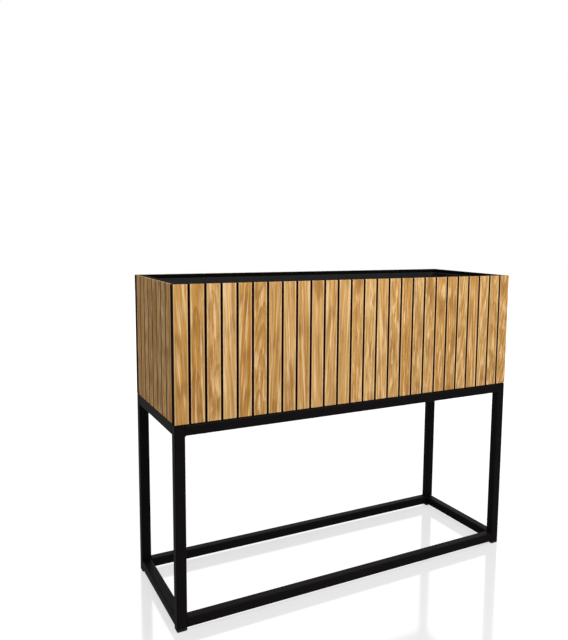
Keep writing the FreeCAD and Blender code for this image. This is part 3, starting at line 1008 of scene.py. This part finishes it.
@dataclass
class SlatRow:
    """A row of upright oak slats, side by side on one face of the box.

    Attributes:
        face: The face of the box that the row covers.
        nodes: The CAD nodes that the row stands for.
        slats: How many slats the row has.
        wide_slat: The number of the slat that takes up what is left of the face, from 0.
        seed: What the row's random saw cuts start from.
        edge_radius: The rounding that planing left on every edge.
    """

    face: BoxFace
    nodes: tuple[str, ...]
    slats: int
    wide_slat: int
    seed: int
    edge_radius: float = 0.8 * MM

    @staticmethod
    def recipe() -> Recipe:
        """Build the tree that makes any row.

        Returns:
            The recipe, with a row along X that faces -Y before it is turned.
        """
        lengths = ("Span", "Slat Width", "Gap", "Thickness", "Height", "Edge Radius", "Turn")
        numbers = ("Slats", "Wide Slat", "Seed")
        recipe = Recipe("slat_row", {
            **dict.fromkeys(lengths, "NodeSocketFloat"), **dict.fromkeys(numbers, "NodeSocketInt"),
            "Centre": "NodeSocketVector",
        })
        given = recipe.given
        node = partial(add_node, recipe.tree)

        # The least and the most of each slat's place by the pith, its slant in the log and its mood.
        pith_range = (-0.030, 0.004, 0.0), (0.030, 0.050, 20.0)
        slant_range = (-0.07, -0.13, 0.0), (0.07, 0.13, 0.0)
        mood_range = (0.0, 0.0, 0.0), (1.0, 1.0, 1.0)

        # A block of eight points a side, each marked with its step from the middle: 0.5, 1.5, 2.5 or 3.5.
        side_points = 8
        last_step = (side_points - 1) / 2
        block = node("GeometryNodeMeshCube", None, {f"Vertices {axis}": side_points for axis in "XYZ"})
        steps = node(VECTOR_MATH, "SCALE", {0: node("GeometryNodeInputPosition"), "Scale": 2 * last_step})
        marked = node("GeometryNodeStoreNamedAttribute", VECTORS, {
            "Geometry": block, "Name": "steps", "Value": steps,
        })
        row = node("GeometryNodeMeshLine", None, {"Count": given["Slats"]})
        copies = node("GeometryNodeInstanceOnPoints", None, {"Points": row, "Instance": marked})
        numbered = node("GeometryNodeStoreNamedAttribute", {"data_type": "INT", "domain": "INSTANCE"}, {
            "Geometry": copies, "Name": "slat", "Value": node("GeometryNodeInputIndex"),
        })
        blocks = node("GeometryNodeRealizeInstances", None, {"Geometry": numbered})
        step = node("GeometryNodeInputNamedAttribute", VECTORS, {"Name": "steps"})
        slat = node("GeometryNodeInputNamedAttribute", {"data_type": "INT"}, {"Name": "slat"})

        # Slats stand a pitch apart. The wide one takes up what is left of the span. Two of the whole
        # numbers that slats have are the same if they lie closer than this.
        same_number = 0.5
        pitch = node(MATH, "ADD", (given["Slat Width"], given["Gap"]))
        others = node(MATH, "SUBTRACT", (given["Slats"], 1.0))
        row_span = node(MATH, "MULTIPLY", (others, pitch))
        wide_width = node(MATH, "SUBTRACT", (given["Span"], row_span))
        is_wide = node(MATH, "COMPARE", (slat, given["Wide Slat"], same_number))
        width = node("GeometryNodeSwitch", {"input_type": "FLOAT"}, {
            "Switch": is_wide, "False": given["Slat Width"], "True": wide_width,
        })
        is_past = node(MATH, "GREATER_THAN", (slat, given["Wide Slat"]))
        extra = node(MATH, "SUBTRACT", (wide_width, given["Slat Width"]))
        pushed = node(MATH, "MULTIPLY", (is_past, extra))
        from_start = node(MATH, "MULTIPLY_ADD", (slat, pitch, pushed))
        low_edge = node(MATH, "MULTIPLY_ADD", (given["Span"], -0.5, from_start))
        centre = node(MATH, "MULTIPLY_ADD", (width, 0.5, low_edge))

        # The outer three steps of each axis fall within the rounding, half a radius apart.
        whole = node("ShaderNodeCombineXYZ", None, (width, given["Thickness"], given["Height"]))
        half = node(VECTOR_MATH, "SCALE", {0: whole, "Scale": 0.5})
        step_size = node(VECTOR_MATH, "ABSOLUTE", {0: step})
        steps_in = node(VECTOR_MATH, "SUBTRACT", ((last_step,) * 3, step_size))
        half_radius = node(MATH, "MULTIPLY", (given["Edge Radius"], 0.5))
        inset = node(VECTOR_MATH, "SCALE", {0: steps_in, "Scale": half_radius})
        reach = node(VECTOR_MATH, "SUBTRACT", (half, inset))
        way = node(VECTOR_MATH, "SIGN", {0: step})
        square = node(VECTOR_MATH, "MULTIPLY", (way, reach))
        radius = node("ShaderNodeCombineXYZ", None, {axis: given["Edge Radius"] for axis in range(3)})
        core = node(VECTOR_MATH, "SUBTRACT", (half, radius))
        core_low = node(VECTOR_MATH, "SCALE", {0: core, "Scale": -1.0})
        above = node(VECTOR_MATH, "MAXIMUM", (square, core_low))
        inside = node(VECTOR_MATH, "MINIMUM", (above, core))
        outward = node(VECTOR_MATH, "SUBTRACT", (square, inside))
        direction = node(VECTOR_MATH, "NORMALIZE", {0: outward})
        local = node(VECTOR_MATH, "MULTIPLY_ADD", (direction, radius, inside))

        # Where each slat was sawn from its log: how far from the pith, at what slant, and where along it.
        # Each draw starts from a seed one higher than the draw before.
        draws = []
        for step_on, (least, most) in enumerate((pith_range, slant_range, mood_range)):
            seed = node(MATH, "ADD", (given["Seed"], step_on))
            span = {0: least, 1: most, "ID": slat, "Seed": seed}
            draws.append(node("FunctionNodeRandomValue", VECTORS, span))
        pith, slant, slat_mood = draws
        height = node("ShaderNodeSeparateXYZ", None, {0: local}).outputs["Z"]
        leaning = node(VECTOR_MATH, "SCALE", {0: slant, "Scale": height})
        sawn = node(VECTOR_MATH, "ADD", (local, pith))
        log_place = node(VECTOR_MATH, "ADD", (sawn, leaning))
        slat_place = node(VECTOR_MATH, "DIVIDE", (local, half))
        slats = blocks
        for name, value in ((LOG_PLACE, log_place), (SLAT_PLACE, slat_place), (SLAT_MOOD, slat_mood)):
            slats = node("GeometryNodeStoreNamedAttribute", VECTORS, {
                "Geometry": slats, "Name": name, "Value": value,
            })
        shift = node("ShaderNodeCombineXYZ", None, {0: centre})
        placed = node(VECTOR_MATH, "ADD", (local, shift))
        slats = node("GeometryNodeSetPosition", None, {"Geometry": slats, "Position": placed})
        for helper in ("steps", "slat"):
            slats = node("GeometryNodeRemoveAttribute", None, {"Geometry": slats, "Name": helper})
        turn = node("ShaderNodeCombineXYZ", None, {2: given["Turn"]})
        turned = node("GeometryNodeTransform", None, {
            "Geometry": slats, "Translation": given["Centre"], "Rotation": turn,
        })
        recipe.close(turned)
        return recipe

    def build(self, recipe: Recipe, slat_width: float, gap: float) -> Object:
        """Make the row where its CAD nodes are, and dress it.

        Args:
            recipe: The tree that makes a row.
            slat_width: The width of every slat but the wide one.
            gap: The groove between two slats.

        Returns:
            The row as one piece.
        """
        boxes = [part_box(name) for name in self.nodes]
        low = Vector(map(min, zip(*(box[0] for box in boxes))))
        high = Vector(map(max, zip(*(box[1] for box in boxes))))
        size = high - low
        along_x = self.face in (BoxFace.FRONT, BoxFace.BACK)
        values = {
            "Slats": self.slats,
            "Wide Slat": self.wide_slat,
            "Seed": self.seed,
            "Span": size.x if along_x else size.y,
            "Thickness": size.y if along_x else size.x,
            "Height": size.z,
            "Slat Width": slat_width,
            "Gap": gap,
            "Edge Radius": self.edge_radius,
            "Turn": math.radians(self.face.value),
            "Centre": (low + high) / 2,
        }
        return recipe.make(f"oak_slats_{self.face.name.lower()}", OAK, values)


@dataclass
class PlanterBox:
    """The box: five black boards, clad with a row of oak slats on each side.

    Attributes:
        long_slats: How many slats the front and the back have.
        end_slats: How many slats each end has.
    """

    long_slats: int = 26
    end_slats: int = 8

    def build(self, nodes: Nodes) -> None:
        """Build the slats and dress the boards.

        Args:
            nodes: The frame's CAD nodes by name.
        """
        boards = [f"{side}_panel" for side in ("front", "back", "left_end", "right_end", "floor")]
        dress_nodes(nodes, boards, BOARD)
        front = tuple(f"front_slat_{number:02d}" for number in range(1, self.long_slats + 1))
        # An end's wide slat is its front one, which comes last on the left and first on the right.
        last_slat = self.end_slats - 1
        rows = (
            SlatRow(BoxFace.FRONT, front, self.long_slats, wide_slat=0, seed=11),
            SlatRow(BoxFace.BACK, ("back_slats",), self.long_slats, wide_slat=0, seed=23),
            SlatRow(BoxFace.LEFT, ("left_end_slats",), self.end_slats, wide_slat=last_slat, seed=37),
            SlatRow(BoxFace.RIGHT, ("right_end_slats",), self.end_slats, wide_slat=0, seed=41),
        )
        first_low, first_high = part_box(front[0])
        second_low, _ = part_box(front[1])
        slat_width = first_high.x - first_low.x
        gap = second_low.x - first_high.x
        recipe = SlatRow.recipe()
        for row in rows:
            add_piece(row.build(recipe, slat_width, gap), "stand", row.nodes)


@dataclass
class SteelStand:
    """The welded stand: four legs, eight rails, weld beads and a plastic glide under each leg."""

    def build(self, nodes: Nodes) -> None:
        """Dress the tubes and the glides, and lay the weld beads.

        Args:
            nodes: The frame's CAD nodes by name.
        """
        corners = [f"{depth}_{side}" for depth in ("front", "back") for side in ("left", "right")]
        sides = ("front", "back", "left", "right")
        legs = [f"leg_{corner}" for corner in corners]
        rails = [f"{level}_rail_{side}" for level in ("top", "bottom") for side in sides]
        dress_nodes(nodes, legs + rails, STEEL)
        WeldBeads().build(nodes)
        dress_nodes(nodes, [f"foot_glide_{corner}" for corner in corners], GLIDE_PLASTIC)


@dataclass
class Fasteners:
    """The screws that hold the boards together and the box on the stand.

    Attributes:
        board_screw_sizes: Head radius, head height, shank radius and thread pitch of the board screws.
        stand_screw_sizes: The same of the screws through the top rails.
    """

    board_screw_sizes: tuple[float, float, float, float] = (3.5 * MM, 1.75 * MM, 1.75 * MM, 1.6 * MM)
    stand_screw_sizes: tuple[float, float, float, float] = (4.0 * MM, 2.6 * MM, 2.0 * MM, 1.8 * MM)

    def build(self, nodes: Nodes) -> None:
        """Build every set of screws.

        Args:
            nodes: The frame's CAD nodes by name.
        """
        recipe = ScrewSet.recipe()
        for screws in (
            ScrewSet("corner_screws", ScrewHead.COUNTERSUNK, *self.board_screw_sizes),
            ScrewSet("floor_screws", ScrewHead.COUNTERSUNK, *self.board_screw_sizes),
            ScrewSet("stand_screws", ScrewHead.PAN, *self.stand_screw_sizes),
        ):
            screws.build(recipe, nodes)


@dataclass(frozen=True)
class SoftBox:
    """A square studio light that shines at the middle of the object and isn't in view itself.

    Attributes:
        name: The light's name.
        place: Where it hangs.
        size: The side of its square.
        watts: Its power.
    """

    name: str
    place: Triple
    size: float
    watts: float

    def hang(self, target: Vector) -> None:
        """Make the light.

        Args:
            target: The point that it shines at.
        """
        lamp = bpy.data.lights.new(self.name, "AREA")
        lamp.size = self.size
        lamp.energy = self.watts
        holder = link_object(self.name, lamp)
        holder.location = self.place
        holder.rotation_euler = (target - Vector(self.place)).to_track_quat("-Z", "Y").to_euler()
        holder.visible_camera = False


@dataclass(frozen=True)
class PhotoCamera:
    """The camera that took the photograph, as its straight edges give it.

    Attributes:
        place: Where the lens is.
        azimuth: How far round the object it stands, in degrees from the front.
        elevation: How far it looks down, in degrees.
        roll: How far it leans over, in degrees.
        focal_px: The focal length in pixels.
        centre_px: The pixel that the lens points at, from the top left.
        image_px: The photograph's width and height in pixels.
    """

    place: Triple = (-0.7401, -1.3106, 0.7546)
    azimuth: float = -29.72
    elevation: float = 6.66
    roll: float = 0.82
    focal_px: float = 674.6
    centre_px: tuple[float, float] = (334.0, 309.4)
    image_px: tuple[int, int] = (568, 640)

    def set_up(self) -> None:
        """Make the camera and give it to the scene."""
        long_side = max(self.image_px)
        lens = bpy.data.cameras.new("photo_camera")
        lens.lens = self.focal_px * lens.sensor_width / long_side
        lens.shift_x = (self.image_px[0] / 2 - self.centre_px[0]) / long_side
        lens.shift_y = (self.centre_px[1] - self.image_px[1] / 2) / long_side
        azimuth, elevation, roll = map(math.radians, (self.azimuth, self.elevation, self.roll))
        level = math.cos(elevation)
        back = Vector((math.sin(azimuth) * level, -math.cos(azimuth) * level, math.sin(elevation)))
        right = Vector((math.cos(azimuth), math.sin(azimuth), 0.0))
        up = back.cross(right)
        turned = Matrix((right, up, back)).transposed() @ Matrix.Rotation(roll, 3, "Z")
        camera = link_object("photo_camera", lens)
        camera.matrix_world = Matrix.Translation(self.place) @ turned.to_4x4()
        bpy.context.scene.camera = camera


@dataclass
class Studio:
    """A white studio: gloss floor, soft lights, bright air on the right and dim air on the left.

    Attributes:
        floor_side: The side of the square floor.
        floor_drop: How far the floor lies below the feet, so that the two don't flicker.
        bright_side: The direction that most light comes from.
        dim: The strength of the air's light from the far side.
        bright: The strength of the air's light from the bright side.
        gleam: How many times as bright the air looks in mirror images.
    """

    floor_side: float = 14.0
    floor_drop: float = 0.2 * MM
    bright_side: Triple = (0.62, 0.55, 0.56)
    dim: float = 0.03
    bright: float = 0.62
    gleam: float = 1.4

    def build(self) -> None:
        """Lay the floor, hang the lights, fill the air and set up the camera."""
        self.lay_floor()
        low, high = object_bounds()
        for light in (
            SoftBox("key_softbox", place=(0.22, -0.95, 1.4), size=1.4, watts=21.0),
            SoftBox("top_softbox", place=(0.2, 0.1, 2.6), size=2.4, watts=32.0),
        ):
            light.hang((low + high) / 2)
        self.fill_air()
        PhotoCamera().set_up()
        bpy.context.scene.view_settings.view_transform = "Standard"

    def lay_floor(self) -> None:
        """Lay a square floor under the feet."""
        mesh = bpy.data.meshes.new("studio_floor")
        sheet = bmesh.new()
        bmesh.ops.create_grid(sheet, x_segments=8, y_segments=8, size=self.floor_side / 2)
        sheet.to_mesh(mesh)
        sheet.free()
        mesh.transform(Matrix.Translation((0.0, 0.0, -self.floor_drop)))
        mesh.materials.append(LitAcrylic().material())
        floor = link_object("studio_floor", mesh)
        floor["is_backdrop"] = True

    def fill_air(self) -> None:
        """Light the scene from all round, and show plain white behind the object."""
        air = bpy.data.worlds.new("studio_air")
        air.use_nodes = True
        air.node_tree.nodes.clear()
        bpy.context.scene.world = air
        node = partial(add_node, air.node_tree)
        direction = node("ShaderNodeTexCoord").outputs["Generated"]
        facing = node(VECTOR_MATH, "DOT_PRODUCT", (direction, self.bright_side))
        glow = node("ShaderNodeMapRange", None, {
            "Value": facing, "From Min": -1.0, "To Min": self.dim, "To Max": self.bright,
        })
        ray = node("ShaderNodeLightPath").outputs
        mirrored = node("ShaderNodeMapRange", None, {
            "Value": ray["Is Glossy Ray"], "To Min": 1.0, "To Max": self.gleam,
        })
        shown = node(MATH, "MULTIPLY", (glow, mirrored))
        strength = node(MATH, "MAXIMUM", (shown, ray["Is Camera Ray"]))
        shader = node("ShaderNodeBackground", None, {"Color": "#FFFFFF", "Strength": strength})
        node("ShaderNodeOutputWorld", None, {"Surface": shader})


def main() -> None:
    """Load the frame, build and dress every sub-assembly, and set up the studio."""
    logging.basicConfig(level=logging.INFO, format="%(message)s")
    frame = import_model()
    nodes = frame["nodes"]
    SteelStand().build(nodes)
    PlanterBox().build(nodes)
    Fasteners().build(nodes)
    dress_nodes(nodes, ["liner"], LINER_PLASTIC)
    Studio().build()


if __name__ == "__main__":
    main()
